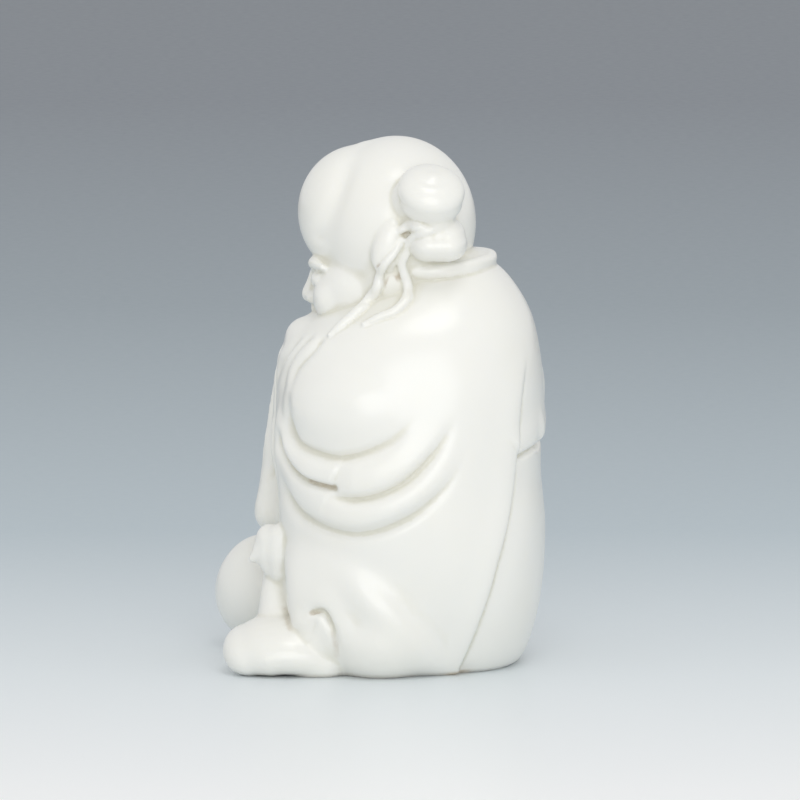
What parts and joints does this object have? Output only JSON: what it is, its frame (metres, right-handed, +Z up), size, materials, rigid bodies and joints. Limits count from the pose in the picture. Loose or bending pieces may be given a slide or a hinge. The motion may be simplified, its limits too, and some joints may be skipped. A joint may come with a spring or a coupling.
{
  "type": "seated figure",
  "caption": "Seated old god of longevity asleep over a raised knee, robed, bald and bulge-browed, a gourd by the ear, in glazed white porcelain.",
  "frame": {"origin": "centre of the bounding box at the flat underside", "axes": "+Z up to the crown; the figure faces -Y and its left side is +X"},
  "size_m": [0.0966, 0.1036, 0.165],
  "materials": {
    "white_glaze": "smooth glossy ivory-white porcelain glaze"
  },
  "bodies": {
    "root": {"shoulao_figure": "white_glaze"}
  },
  "joints": []
}
